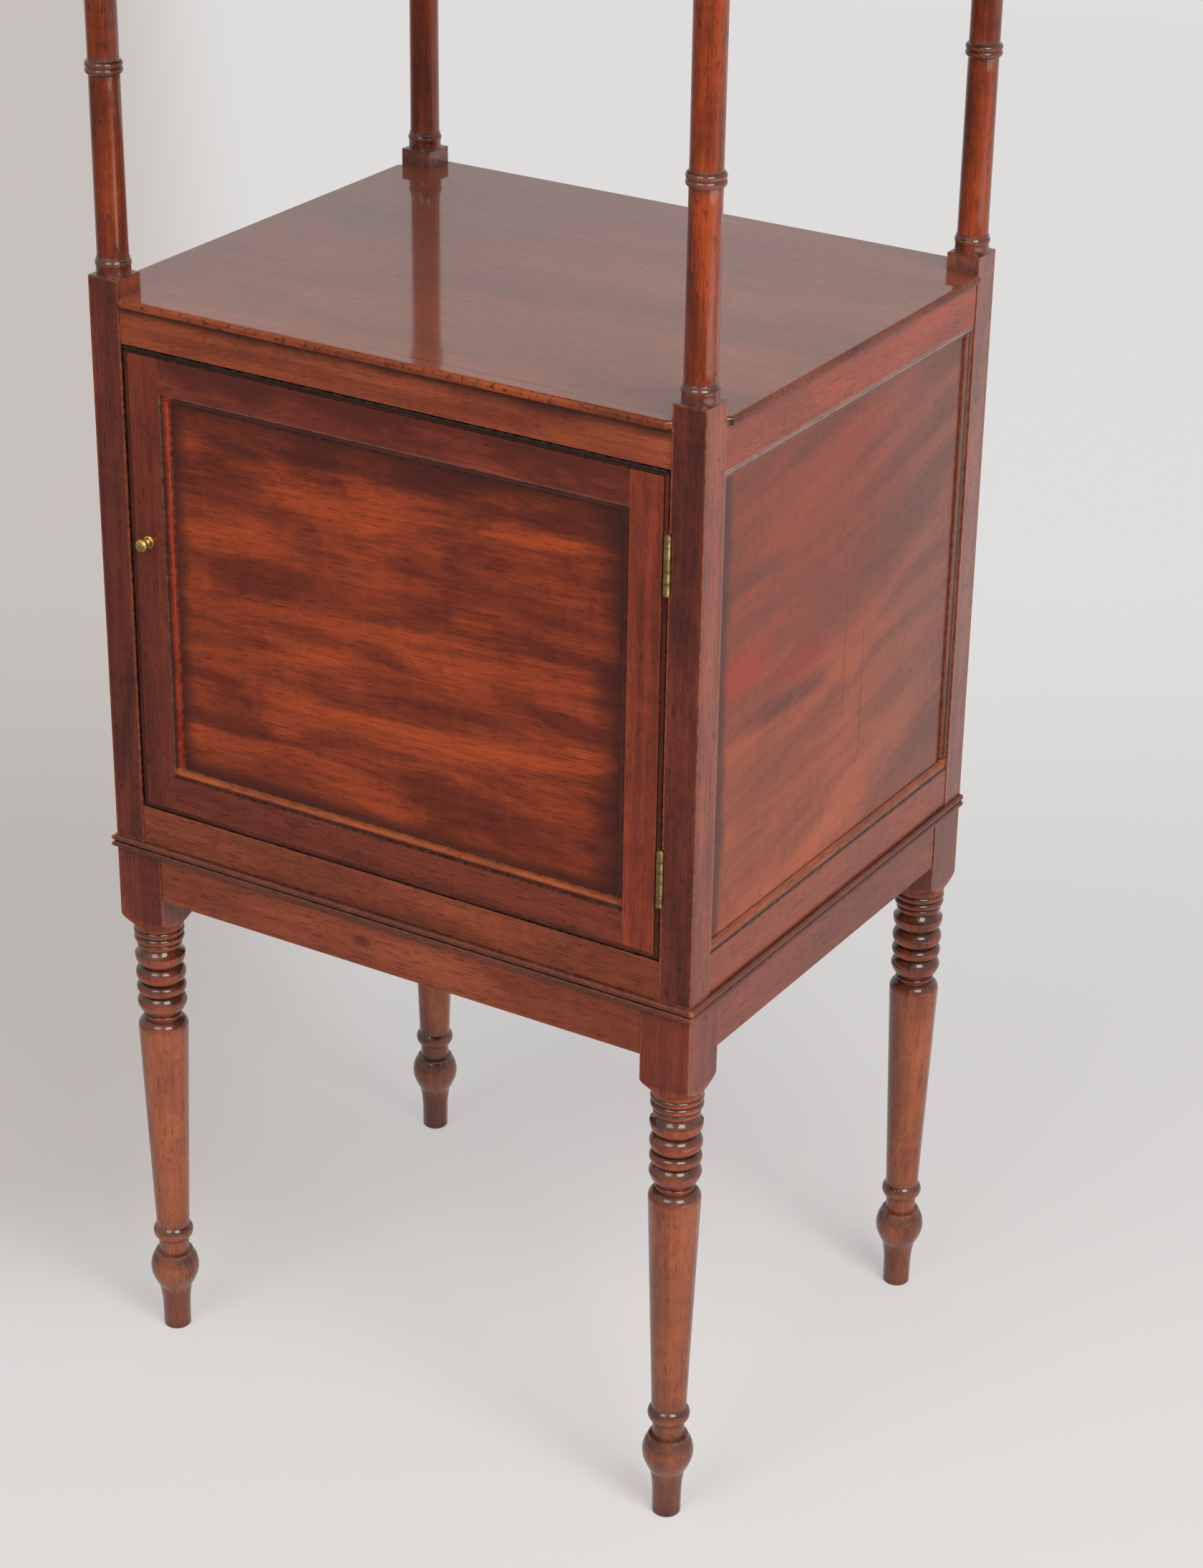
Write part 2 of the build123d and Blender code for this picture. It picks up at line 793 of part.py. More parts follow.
def notched_board(name, under, thickness):
    """The cupboard top or the upper shelf."""
    nose_front = front_y - nosing
    with BuildPart() as board:
        with BuildSketch(Plane.XY.offset(under)) as plan:
            with Locations((0, (nose_front + back_y) / 2)):
                Rectangle(carcase_width - 2 * post_width, back_y - nose_front)
            with Locations((0, centre_y)):
                Rectangle(carcase_width + 2 * nosing, carcase_depth - 2 * post_width)
            tips = [
                vertex
                for vertex in plan.vertices()
                if vertex.Y < front_y - pick_margin or abs(vertex.X) > carcase_width / 2 + pick_margin
            ]
            chamfer(tips, nosing)
        extrude(amount=thickness)
        rims = [
            edge
            for edge in board.edges()
            if edge.center().Y < front_y - pick_margin
            or abs(edge.center().X) > carcase_width / 2 + pick_margin
        ]
        fillet([edge for edge in rims if abs(edge.center().Z - under - thickness) < pick_margin],
               nosing_top_radius)
        rims = [
            edge
            for edge in board.edges()
            if edge.center().Y < front_y - pick_margin
            or abs(edge.center().X) > carcase_width / 2 + pick_margin
        ]
        fillet([edge for edge in rims if abs(edge.center().Z - under) < pick_margin],
               nosing_under_radius)
        # Shouldered corners that are let into the posts
        housed = post_width - board_housing
        slab(
            (at_x(-1, housed), at_x(1, housed)), (at_y(-1, housed), at_y(1, housed)),
            (under, under + thickness - board_housing_shoulder),
        )
    save(board.part, name)


notched_board("cupboard_top", board_under, top_thickness)
notched_board("upper_shelf", shelf_under, shelf_thickness)

# Glue blocks under the cupboard top, against its rails

with BuildPart() as glue_blocks:
    block_z = (board_under - glue_block_width, board_under)
    side_span = (rail_inner_inset, rail_inner_inset + glue_block_width)
    quarter_width = carcase_width / 4
    quarter_depth = carcase_depth / 4
    for sign in (-1, 1):
        for x in (-quarter_width, quarter_width):
            slab(
                (x - glue_block_length / 2, x + glue_block_length / 2),
                (at_y(sign, side_span[0]), at_y(sign, side_span[1])), block_z,
            )
        for y in (centre_y - quarter_depth, centre_y + quarter_depth):
            slab(
                (at_x(sign, side_span[0]), at_x(sign, side_span[1])),
                (y - glue_block_length / 2, y + glue_block_length / 2), block_z,
            )
save(glue_blocks.part, "glue_blocks")

# Strips that stop the door

with BuildPart() as door_stop_top:
    slab(
        (at_x(-1, post_width + stop_end_gap), at_x(1, post_width + stop_end_gap)),
        (front_y + rail_inner_inset, front_y + rail_inner_inset + stop_width),
        (door_top - stop_overlap, door_top + stop_bed),
    )
save(door_stop_top.part, "door_stop_top")

with BuildPart() as door_stop_bottom:
    slab(
        (at_x(-1, post_width + stop_end_gap), at_x(1, post_width + stop_end_gap)),
        (front_y + rail_inner_inset, front_y + rail_inner_inset + stop_width),
        (floor_top, door_bottom + stop_overlap),
    )
save(door_stop_bottom.part, "door_stop_bottom")

# Door frame: stiles run through, rails are tenoned between them, a rebate all round takes the bead

door_tenon_far = door_panel_y + door_panel_thickness


def rebate_for_bead():
    """Cut the door's outer front edge back for the cock bead."""
    depth = (door_front_y, door_front_y + bead_depth)
    inner_x = door_half_width - bead_width
    for sign in (-1, 1):
        slab((sign * inner_x, sign * door_half_width), depth, (door_bottom, door_top), Mode.SUBTRACT)
    for low, high in ((door_bottom, door_bottom + bead_width), (door_top - bead_width, door_top)):
        slab((-door_half_width, door_half_width), depth, (low, high), Mode.SUBTRACT)


door_rail_spans = {
    "bottom": (door_bottom, door_opening_bottom),
    "top": (door_opening_top, door_top),
}

for name, sx in (("door_stile_catch", -1), ("door_stile_hinge", 1)):
    with BuildPart() as stile:
        slab(
            (sx * door_opening_half, sx * door_half_width), (door_front_y, door_back_y),
            (door_bottom, door_top),
        )
        rebate_for_bead()
        slab(
            (sx * door_opening_half, sx * (door_opening_half + door_panel_groove)),
            (door_panel_y, door_tenon_far),
            (door_opening_bottom - door_panel_groove, door_opening_top + door_panel_groove),
            Mode.SUBTRACT,
        )
        for low, high in door_rail_spans.values():
            slab(
                (sx * door_opening_half, sx * (door_opening_half + door_tenon_length + mortise_bottom)),
                (door_panel_y, door_tenon_far),
                (low + door_tenon_shoulder, high - door_tenon_shoulder), Mode.SUBTRACT,
            )
        if sx > 0:
            for level in hinge_levels.values():
                scoop_for_barrel(level)
                leaf_recess("door", level)
        else:
            with Locations(Plane(origin=(knob_x, door_front_y, knob_z), z_dir=(0, 1, 0))):
                Cylinder(
                    spindle_radius + spindle_clearance, door_thickness,
                    align=(Align.CENTER, Align.CENTER, Align.MIN), mode=Mode.SUBTRACT,
                )
    save(stile.part, name)

for name, (low, high) in door_rail_spans.items():
    groove_low = high - door_panel_groove if name == "bottom" else low
    with BuildPart() as door_rail:
        slab((-door_opening_half, door_opening_half), (door_front_y, door_back_y), (low, high))
        slab(
            (-door_opening_half - door_tenon_length, door_opening_half + door_tenon_length),
            (door_panel_y, door_tenon_far),
            (low + door_tenon_shoulder + joint_clearance, high - door_tenon_shoulder - joint_clearance),
        )
        rebate_for_bead()
        slab(
            (-door_opening_half, door_opening_half), (door_panel_y, door_tenon_far),
            (groove_low, groove_low + door_panel_groove), Mode.SUBTRACT,
        )
    save(door_rail.part, f"door_rail_{name}")

door_panel_reach = door_panel_groove - panel_edge_play
with BuildPart() as door_panel:
    slab(
        (-door_opening_half - door_panel_reach, door_opening_half + door_panel_reach),
        (door_panel_y, door_tenon_far),
        (door_opening_bottom - door_panel_reach, door_opening_top + door_panel_reach),
    )
save(door_panel.part, "door_panel")

door_middle_z = (door_bottom + door_top) / 2
with BuildPart() as door_moulding:
    for piece in ring_of_strips(
        (0, door_panel_y, door_middle_z), (1, 0, 0), (0, 0, 1), (0, -1, 0),
        door_opening_half, (door_opening_top - door_opening_bottom) / 2,
        panel_section(door_moulding_width, door_panel_recess), door_moulding_width, door_panel_recess,
    ):
        add(piece)
save(door_moulding.part, "door_panel_moulding")

with BuildPart() as cock_bead:
    for piece in ring_of_strips(
        (0, door_front_y + bead_depth, door_middle_z), (1, 0, 0), (0, 0, 1), (0, -1, 0),
        door_half_width, (door_top - door_bottom) / 2, draw_bead_section, bead_width,
        bead_depth + bead_proud,
    ):
        add(piece)
    for level in hinge_levels.values():
        scoop_for_barrel(level)
        slab(
            leaf_spans["door"], (front_y, leaf_back_y),
            (level - hinge_length / 2, level + hinge_length / 2), Mode.SUBTRACT,
        )
save(cock_bead.part, "door_cock_bead")

# Butt hinges: knuckles alternate between the leaves, the end ones on the post's leaf

knuckle_length = (hinge_length - (hinge_knuckles - 1) * knuckle_gap) / hinge_knuckles
for height, level in hinge_levels.items():
    hinge_low = level - hinge_length / 2
    hinge_high = level + hinge_length / 2
    for side in ("post", "door"):
        own_knuckles = range(0 if side == "post" else 1, hinge_knuckles, 2)
        near, far = leaf_spans[side]
        with BuildPart() as leaf:
            slab((near, far), (leaf_front_y, leaf_back_y), (hinge_low, hinge_high))
            for index in own_knuckles:
                knuckle_low = hinge_low + index * (knuckle_length + knuckle_gap)
                slab(
                    (near, far), (hinge_y + hinge_pin_radius + leaf_clearance, leaf_front_y),
                    (knuckle_low, knuckle_low + knuckle_length),
                )
                with Locations((hinge_x, hinge_y, knuckle_low)):
                    Cylinder(hinge_radius, knuckle_length, align=(Align.CENTER, Align.CENTER, Align.MIN))
            with Locations((hinge_x, hinge_y, level)):
                Cylinder(hinge_pin_radius + hinge_pin_clearance, hinge_length, mode=Mode.SUBTRACT)
            for place in screw_places(level):
                screw_hole(side, place, screw_clearance)
        save(leaf.part, f"hinge_{side}_leaf_{height}")
    with BuildPart() as hinge_pin:
        with Locations((hinge_x, hinge_y, level)):
            Cylinder(hinge_pin_radius, hinge_length)
        with Locations((hinge_x, hinge_y, hinge_high)):
            Cylinder(hinge_tip_radius, hinge_tip_height, align=(Align.CENTER, Align.CENTER, Align.MIN))
        with Locations((hinge_x, hinge_y, hinge_low)):
            Cylinder(hinge_tip_radius, hinge_tip_height, align=(Align.CENTER, Align.CENTER, Align.MAX))
    save(hinge_pin.part, f"hinge_pin_{height}")

for side in ("post", "door"):
    with BuildPart() as screws:
        for level in hinge_levels.values():
            for place in screw_places(level):
                screw_hole(side, place, 0, Mode.ADD)
    save(screws.part, f"hinge_screws_{side}")

# Knob: a rose on the stile, and a turned knob whose spindle carries the catch behind the door

rose_front_y = door_front_y - rose_thickness
knob_back_y = rose_front_y - rose_gap
knob_length = knob_projection - rose_thickness - rose_gap
spindle_back_y = catch_back_y + spindle_end

with BuildPart() as knob_rose:
    with Locations(Plane(origin=(knob_x, door_front_y, knob_z), z_dir=(0, -1, 0))):
        Cylinder(rose_radius, rose_thickness, align=(Align.CENTER, Align.CENTER, Align.MIN))
        Cylinder(
            spindle_radius + spindle_clearance, rose_thickness,
            align=(Align.CENTER, Align.CENTER, Align.MIN), mode=Mode.SUBTRACT,
        )
    rim = knob_rose.edges().filter_by(GeomType.CIRCLE).sort_by(Axis.Y)[:2].sort_by(SortBy.RADIUS)[-1]
    chamfer(rim, rose_bevel)
save(knob_rose.part, "knob_rose")

with BuildPart() as door_knob:
    # The knob's length runs towards -Y, so its lathe plane lies flat
    with BuildSketch(Plane(origin=(knob_x, knob_back_y, knob_z), x_dir=(1, 0, 0), z_dir=(0, 0, -1))):
        with BuildLine():
            draw_turning(sized(knob_outline_shares, knob_length, knob_radius))
        make_face()
    revolve(axis=Axis((knob_x, knob_back_y, knob_z), (0, 1, 0)))
    with Locations(Plane(origin=(knob_x, knob_back_y, knob_z), z_dir=(0, 1, 0))):
        Cylinder(
            spindle_radius, spindle_back_y - knob_back_y,
            align=(Align.CENTER, Align.CENTER, Align.MIN),
        )
save(door_knob.part, "door_knob")

with BuildPart() as catch_tongue:
    slab(
        (knob_x - catch_width / 2, knob_x + catch_width / 2), (catch_front_y, catch_back_y),
        (knob_z - catch_length, knob_z + catch_width / 2),
    )
    with Locations(Plane(origin=(knob_x, catch_front_y, knob_z), z_dir=(0, 1, 0))):
        Cylinder(
            spindle_radius + peg_clearance, catch_thickness,
            align=(Align.CENTER, Align.CENTER, Align.MIN), mode=Mode.SUBTRACT,
        )
save(catch_tongue.part, "catch_tongue")
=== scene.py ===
import math

import bpy
import numpy as np
from mathutils import Matrix, Vector


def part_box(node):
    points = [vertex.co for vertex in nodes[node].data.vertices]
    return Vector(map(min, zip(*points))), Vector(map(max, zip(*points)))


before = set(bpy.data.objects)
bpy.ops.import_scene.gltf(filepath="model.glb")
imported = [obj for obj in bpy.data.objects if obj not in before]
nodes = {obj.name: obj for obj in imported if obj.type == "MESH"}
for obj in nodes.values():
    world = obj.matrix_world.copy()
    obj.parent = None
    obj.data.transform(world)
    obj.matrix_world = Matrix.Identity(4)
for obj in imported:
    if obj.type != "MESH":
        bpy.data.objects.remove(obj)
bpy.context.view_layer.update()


def tone(red, green, blue):
    """A screen colour from 0 to 255 a channel as the linear colour that a shader takes."""
    return tuple((c / 255) ** 2.2 for c in (red, green, blue)) + (1,)


class Thread:
    """A value, colour or vector inside a material; arithmetic on values adds Math nodes."""

    def __init__(self, tree, socket=None):
        self.tree = tree
        self.socket = socket

    def node(self, kind, settings=None, values=None, output=0):
        """Adds a node with its settings and inputs, and gives back one of its outputs."""
        made = self.tree.nodes.new(kind)
        for key, value in (settings or {}).items():
            setattr(made, key, value)
        for key, value in (values or {}).items():
            if isinstance(value, Thread):
                self.tree.links.new(value.socket, made.inputs[key])
            else:
                made.inputs[key].default_value = value
        return Thread(self.tree, made.outputs[output])

    def feed(self, socket):
        """Leads this thread into a socket of the shader."""
        self.tree.links.new(self.socket, socket)

    def maths(self, operation, first, second):
        """One Math node on two values, either of which may be a plain number."""
        return self.node("ShaderNodeMath", {"operation": operation}, {0: first, 1: second})

    def __add__(self, other):
        return self.maths("ADD", self, other)

    def __radd__(self, other):
        return self.maths("ADD", other, self)

    def __sub__(self, other):
        return self.maths("SUBTRACT", self, other)

    def __rsub__(self, other):
        return self.maths("SUBTRACT", other, self)

    def __mul__(self, other):
        return self.maths("MULTIPLY", self, other)

    def __rmul__(self, other):
        return self.maths("MULTIPLY", other, self)

    def larger(self, other):
        """The larger of this value and another."""
        return self.maths("MAXIMUM", self, other)

    def along(self, axis):
        """One of the three coordinates of this vector."""
        return self.node("ShaderNodeSeparateXYZ", None, {0: self}, output="XYZ".index(axis))

    def eased(self, low, high):
        """0 below low, 1 above high, and a smooth rise between; low may be the larger."""
        return self.node(
            "ShaderNodeMapRange", {"interpolation_type": "SMOOTHSTEP"},
            {"Value": self, "From Min": low, "From Max": high},
        )

    def blend(self, first, second):
        """The colour first where this value is 0 and second where it is 1."""
        return self.node(
            "ShaderNodeMix", {"data_type": "RGBA"}, {0: self, 6: first, 7: second}, output=2
        )

    def noise(self, scale, detail=2.0, roughness=0.5, distortion=0.0):
        """Fractal noise at this vector, near 0.5 on average; scale holds lumps per metre."""
        stretched = self.node(
            "ShaderNodeMapping", {"vector_type": "POINT"}, {"Vector": self, "Scale": scale}
        )
        return self.node(
            "ShaderNodeTexNoise", None,
            {"Vector": stretched, "Scale": 1.0, "Detail": detail, "Roughness": roughness,
             "Distortion": distortion},
        )

    def openness(self, reach, inside=False):
        """Ambient occlusion: 1 where no face lies nearer than reach, and less in a hollow. With
        inside it looks into the piece itself, and is less at an outer edge."""
        settings = {"samples": 2}
        if inside:
            settings.update(inside=True, only_local=True)
        return self.node("ShaderNodeAmbientOcclusion", settings, {"Distance": reach}, output="AO")

    def bump(self, height, strength, depth):
        """The surface's normal, tilted by the slope of height."""
        return self.node(
            "ShaderNodeBump", None, {"Height": height, "Strength": strength, "Distance": depth}
        )


def grain_scale(grain, across, along):
    """Lumps per metre on each axis for a figure that runs along one of them."""
    return tuple(along if axis == grain else across for axis in "XYZ")


def even_scale(lumps):
    """The same number of lumps per metre on each axis."""
    return (lumps, lumps, lumps)


def new_material(name):
    """A material with its principled shader, and a thread from which its nodes are made."""
    material = bpy.data.materials.new(name)
    material.use_nodes = True
    shader = material.node_tree.nodes["Principled BSDF"]
    return material, shader, Thread(material.node_tree)


def polished_wood(
    name, grain, light, dark, turn=(0, 0, 0),
    band_size=(11, 1.6), band_share=0.5, contrast=1.0, crispness=1.0,
    zones=(), dusk=(), dusk_tone=(60, 32, 26), cracks=(), patches=(),
    fleck_share=0.5, wear_share=0.1, hollow_reach=0.007, hollow_share=0.95, wax_share=0.4,
    settled_share=0.0, coat_weight=0.8, coat_roughness=0.13,
):
    """French-polished mahogany with its grain along one axis, after an optional turn. A zone is
    (axis, start, end, light, dark) and changes the tones past a place, and a sixth entry there is
    the share of polish rubbed off; several zones hold painted light and shade. Dusk is (axis,
    edge, reach), where the wood is darker from an edge inwards, and on the front top rail it is a
    painted shadow under the nosing; a crack is (axis across, place, axis along, start, end, half
    width).
    A patch is (axis, middle, half length, axis, middle, half length, tone, share), an oval of
    another colour. Settled polish is the dark dirt on the upper sides of turned beads."""
    material, shader, start = new_material(name)
    place = start.node("ShaderNodeTexCoord", output="Object")

    # Each piece is cut from another part of the tree
    own = start.node("ShaderNodeObjectInfo", output="Random")
    drift = start.node("ShaderNodeCombineXYZ", None, {0: own * 3.1, 1: own * 5.3, 2: own * 7.7})
    wood = start.node("ShaderNodeVectorMath", {"operation": "ADD"}, {0: place, 1: drift})
    wood = start.node(
        "ShaderNodeMapping", {"vector_type": "POINT"}, {"Vector": wood, "Rotation": turn}
    )

    # The layers of the figure, each with its lumps per metre across and along the grain
    streak_size = 140, 4
    mottle_size = 42, 17
    fibre_size = 700, 18
    flicker_size = 14, 95
    pore_size = 1300, 90
    fleck_size = 290, 90
    clouds = wood.noise(grain_scale(grain, *band_size), 4.0, 0.55, 0.8).eased(0.3, 0.7)
    streaks = wood.noise(grain_scale(grain, *streak_size), 5.0, 0.65, 0.3).eased(0.25, 0.75)
    mottles = wood.noise(grain_scale(grain, *mottle_size), 4.0, 0.62, 0.5).eased(0.3, 0.7)
    fibres = wood.noise(grain_scale(grain, *fibre_size), 3.0, 0.6)
    flicker = wood.noise(grain_scale(grain, *flicker_size), 3.0, 0.5, 0.8).eased(0.3, 0.7)
    pores = wood.noise(grain_scale(grain, *pore_size), 1.0, 0.5).eased(0.60, 0.68)
    flecks = wood.noise(grain_scale(grain, *fleck_size), 3.0, 0.55, 0.4).eased(0.60, 0.70)

    # Marks of use, which don't follow the grain
    smears = place.noise(even_scale(7), 3.0, 0.6)
    nicks = place.noise(even_scale(150), 3.0, 0.5, 0.6).eased(0.66, 0.72)
    chips = place.noise(even_scale(210), 4.0, 0.65).eased(0.4, 0.6)

    # The light and the dark tone of the wood change from zone to zone
    light = tone(*light)
    dark = tone(*dark)
    coat = coat_weight
    bared = nicks * 0.35
    for axis, zone_start, zone_end, zone_light, zone_dark, *rubbed in zones:
        inside = place.along(axis).eased(zone_start, zone_end)
        light = inside.blend(light, tone(*zone_light))
        dark = inside.blend(dark, tone(*zone_dark))
        for rubbed_share in rubbed:
            coat = coat * (1 - inside * rubbed_share)
            rubbings = place.noise(even_scale(330), 4.0, 0.65).eased(0.52, 0.64)
            bared = bared.larger(inside * rubbings)

    # The figure blends them, and patches of another colour go over it
    streak_share = (1 - band_share) * 0.45
    mottle_share = (1 - band_share) * 0.4
    flicker_share = (1 - band_share) * 0.15
    figure = clouds * band_share + streaks * streak_share + mottles * mottle_share
    figure = figure + flicker * flicker_share
    half_span = 0.5 / contrast
    colour = figure.eased(0.5 - half_span, 0.5 + half_span).blend(light, dark)
    for *oval, patch_tone, patch_share in patches:
        inside = 1
        for axis, middle, half in (oval[:3], oval[3:]):
            off = place.along(axis) - middle
            inside = off.larger(0 - off).eased(half, half * 0.2) * inside
        inside = (inside + (streaks + mottles - 1) * 0.35) * inside.eased(0, 0.3)
        colour = (inside * patch_share).blend(colour, tone(*patch_tone))

    # Fibres, flecks and pores, and the places where the polish is gone
    fleck_tone = tone(48, 22, 16)
    pore_tone = tone(30, 14, 10)
    bared_tone = tone(50, 26, 18)
    fibre_share = 0.42 * crispness
    pore_share = 0.5 * crispness
    colour = (fibres.eased(0.42, 0.72) * fibre_share).blend(colour, dark)
    colour = (flecks * fleck_share).blend(colour, fleck_tone)
    colour = (pores * pore_share).blend(colour, pore_tone)
    colour = (bared * 0.8).blend(colour, bared_tone)

    # Darker from an edge inwards, in a wavering line; on the front top rail this is a painted
    # shadow under the nosing
    for axis, edge, reach in dusk:
        wavering = place.along(axis) + (mottles - 0.5) * (abs(reach) * 0.5)
        near = wavering.eased(edge + reach, edge)
        colour = (near * 0.8).blend(colour, tone(*dusk_tone))

    # Cracks, which waver too and taper out at their ends
    crack_waver = 0.0024
    crack_taper = 0.004
    waver = place.noise(even_scale(90), 3.0, 0.6) * crack_waver - crack_waver / 2
    for across, line, along, line_start, line_end, half_width in cracks:
        off = place.along(across) + waver - line
        split = off.larger(0 - off).eased(half_width, half_width * 0.3)
        split = split * place.along(along).eased(line_start - crack_taper, line_start)
        split = split * place.along(along).eased(line_end + crack_taper, line_end)
        colour = (split * 0.85).blend(colour, pore_tone)

    # Worn edges, painted shade with dirt in the hollows, dirt settled on the beads, and old wax
    # in the finest quirks
    worn_tone = tone(172, 84, 46)
    hollow_shade_and_dirt_tone = tone(30, 19, 15)
    settled_tone = tone(34, 27, 21)
    wax_tone = tone(136, 124, 96)
    edge_reach = 0.002
    quirk_reach = 0.0022
    convex = start.openness(edge_reach, inside=True).eased(0.95, 0.62)
    colour = (convex * (0.35 + chips * 0.65) * wear_share).blend(colour, worn_tone)
    # Hollows: painted shade together with dirt, darkest where faces crowd close
    hollow_shade_and_dirt = start.openness(hollow_reach).eased(0.7, 0.25)
    colour = (hollow_shade_and_dirt * hollow_share).blend(colour, hollow_shade_and_dirt_tone)
    if settled_share:
        upward = start.node("ShaderNodeNewGeometry", output="Normal").along("Z").eased(0.02, 0.5)
        settled = upward * (0.5 + mottles * 0.5) * settled_share
        colour = settled.blend(colour, settled_tone)
    quirk = start.openness(quirk_reach).eased(0.62, 0.35)
    colour = (quirk * chips * wax_share).blend(colour, wax_tone)
    colour.feed(shader.inputs["Base Color"])

    # The wood itself is dull, and the polish is a clear coat over it
    (0.42 + smears * 0.16 + pores * 0.1 + hollow_shade_and_dirt * 0.2).feed(shader.inputs["Roughness"])
    shader.inputs["Specular IOR Level"].default_value = 0.12
    if isinstance(coat, Thread):
        coat.feed(shader.inputs["Coat Weight"])
    else:
        shader.inputs["Coat Weight"].default_value = coat
    shader.inputs["Coat Roughness"].default_value = coat_roughness
    shader.inputs["Coat IOR"].default_value = 1.5
    sway = place.noise(even_scale(26), 2.0, 0.5)
    height = sway * 2.4 + fibres * 0.10 - pores * 0.22 + streaks * 0.10 - convex * chips * 0.6
    start.bump(height, strength=0.5, depth=0.0004).feed(shader.inputs["Normal"])
    return material


def dress(material, *names, edge=0.0):
    """Gives CAD nodes a finish, and rubs their sharp edges round by edge."""
    for name in names:
        piece = nodes[name]
        piece.data.materials.clear()
        piece.data.materials.append(material)
        if edge:
            weld = piece.modifiers.new("joined faces", "WELD")
            weld.merge_threshold = 0.00001
            bevel = piece.modifiers.new("rubbed edges", "BEVEL")
            bevel.width = edge
            bevel.segments = 2
            bevel.limit_method = "ANGLE"
            bevel.angle_limit = math.radians(40)
            bevel.harden_normals = True


corners = ("front_left", "front_right", "back_left", "back_right")
leg_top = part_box("leg_front_left")[1][2]
foot_tip = 0.030
foot_top = 0.094
beads_bottom = leg_top - 0.150
block_bottom = leg_top - 0.062
foot_tip_tones = (142, 76, 52), (84, 48, 36)
foot_tones = (163, 90, 59), (97, 52, 38)
taper_tones = (172, 93, 57), (110, 56, 38)
beads_tones = (166, 80, 48), (92, 42, 30)
leg_block_tones = (135, 60, 41), (82, 37, 28)
leg_wood = polished_wood(
    "leg mahogany", "Z", *foot_tip_tones, band_size=(24, 3), band_share=0.3, contrast=1.0,
    crispness=0.8, fleck_share=0.35, wear_share=0.7, hollow_reach=0.011, hollow_share=1.0,
    wax_share=0.15, settled_share=0.8, coat_weight=1.0, coat_roughness=0.12,
    zones=(
        ("Z", foot_tip, foot_tip + 0.01, *foot_tones),
        ("Z", foot_top, foot_top + 0.02, *taper_tones),
        ("Z", beads_bottom - 0.012, beads_bottom, *beads_tones),
        ("Z", block_bottom, block_bottom + 0.004, *leg_block_tones),
    ),
)
dress(leg_wood, *(f"leg_{corner}" for corner in corners))
dress(leg_wood, *(f"finial_{corner}" for corner in corners))

# Aprons: planed mahogany, tenoned into the leg blocks, with a small dark knot near the middle of
# the front one. The same stock serves for the rails, where its tones are redder.
apron_edge = 0.0006
apron_tones = (166, 84, 54), (112, 52, 36)
front_rail_foot = 0.434
front_rail_tones = (156, 78, 50), (98, 45, 31)
knot = "X", -0.027, 0.011, "Z", 0.4165, 0.0060, (54, 27, 19), 0.65
cross_wood = polished_wood(
    "cross mahogany", "X", *apron_tones, band_size=(22, 4), contrast=0.85, fleck_share=0.3,
    zones=(("Z", front_rail_foot, front_rail_foot + 0.002, *front_rail_tones),),
    patches=(knot,),
)
side_apron_tones = (146, 70, 50), (96, 46, 36)
side_rail_foot = 0.440
side_rail_tones = (150, 69, 45), (102, 49, 35)
between_rails = 0.60
upper_rail_tones = (158, 64, 34), (106, 43, 26)
side_wood = polished_wood(
    "side mahogany", "Y", *side_apron_tones, band_size=(22, 4), contrast=0.8, fleck_share=0.3,
    zones=(
        ("Z", side_rail_foot, side_rail_foot + 0.004, *side_rail_tones),
        ("Z", between_rails, between_rails + 0.02, *upper_rail_tones),
    ),
)
dress(cross_wood, "apron_front", "apron_back", edge=apron_edge)
dress(side_wood, "apron_left", "apron_right", edge=apron_edge)

# Base moulding: a thin mitred frame of mahogany with two reeds along its edge, planted between
# the stand and the cupboard.
reed_finish = dict(
    band_size=(22, 4), band_share=0.2, wear_share=1.0, hollow_reach=0.004, wax_share=0.2
)
front_reed_tones = (112, 54, 36), (66, 32, 24)
side_reed_tones = (112, 54, 38), (70, 34, 28)
front_reed_wood = polished_wood("front reed mahogany", "X", *front_reed_tones, **reed_finish)
side_reed_wood = polished_wood("side reed mahogany", "Y", *side_reed_tones, **reed_finish)
dress(front_reed_wood, "base_moulding_front")
dress(side_reed_wood, "base_moulding_left", "base_moulding_right")

# Corner posts: mahogany, square beside the cupboard with mortises for its rails, and turned to
# ringed columns above it. The squares are the darkest wood of the piece, with painted shade on
# their front faces, painted light on their sides and a greyer painted sheen on the back squares;
# the columns are worn brighter, with dark flecks.
post_edge = 0.0007
front_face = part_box("front_top_rail")[0][1]
board_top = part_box("cupboard_top")[1][2]
shelf_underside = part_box("upper_shelf")[0][2]
back_posts = 0.160
block_top = board_top + 0.0123
column_foot = block_top + 0.012
ring_height = (shelf_underside + board_top) / 2
# The front faces are painted darker as shade, the sides lighter as lit, and the back squares
# greyer as a painted sheen
shaded_post_front_tones = (117, 53, 39), (66, 30, 26)
lit_post_side_tones = (152, 71, 46), (104, 46, 32)
sheen_back_post_tones = (144, 80, 66), (98, 59, 49)
ring_tones = (132, 64, 45), (74, 36, 29)
column_tones = (156, 64, 24), (74, 31, 16)
post_wood = polished_wood(
    "post mahogany", "Z", *shaded_post_front_tones, band_size=(24, 4), band_share=0.3, contrast=1.1,
    fleck_share=0.55, wear_share=0.9, hollow_reach=0.008, settled_share=0.8, coat_weight=1.0,
    zones=(
        ("Y", front_face, front_face + 0.004, *lit_post_side_tones),
        ("Y", back_posts, back_posts + 0.004, *sheen_back_post_tones),
        ("Z", block_top - 0.003, block_top, *ring_tones),
        ("Z", column_foot, column_foot + 0.004, *column_tones),
        ("Z", ring_height - 0.009, ring_height - 0.006, *ring_tones),
        ("Z", ring_height + 0.006, ring_height + 0.009, *column_tones),
    ),
)
dress(post_wood, *(f"post_{corner}" for corner in corners), edge=post_edge)
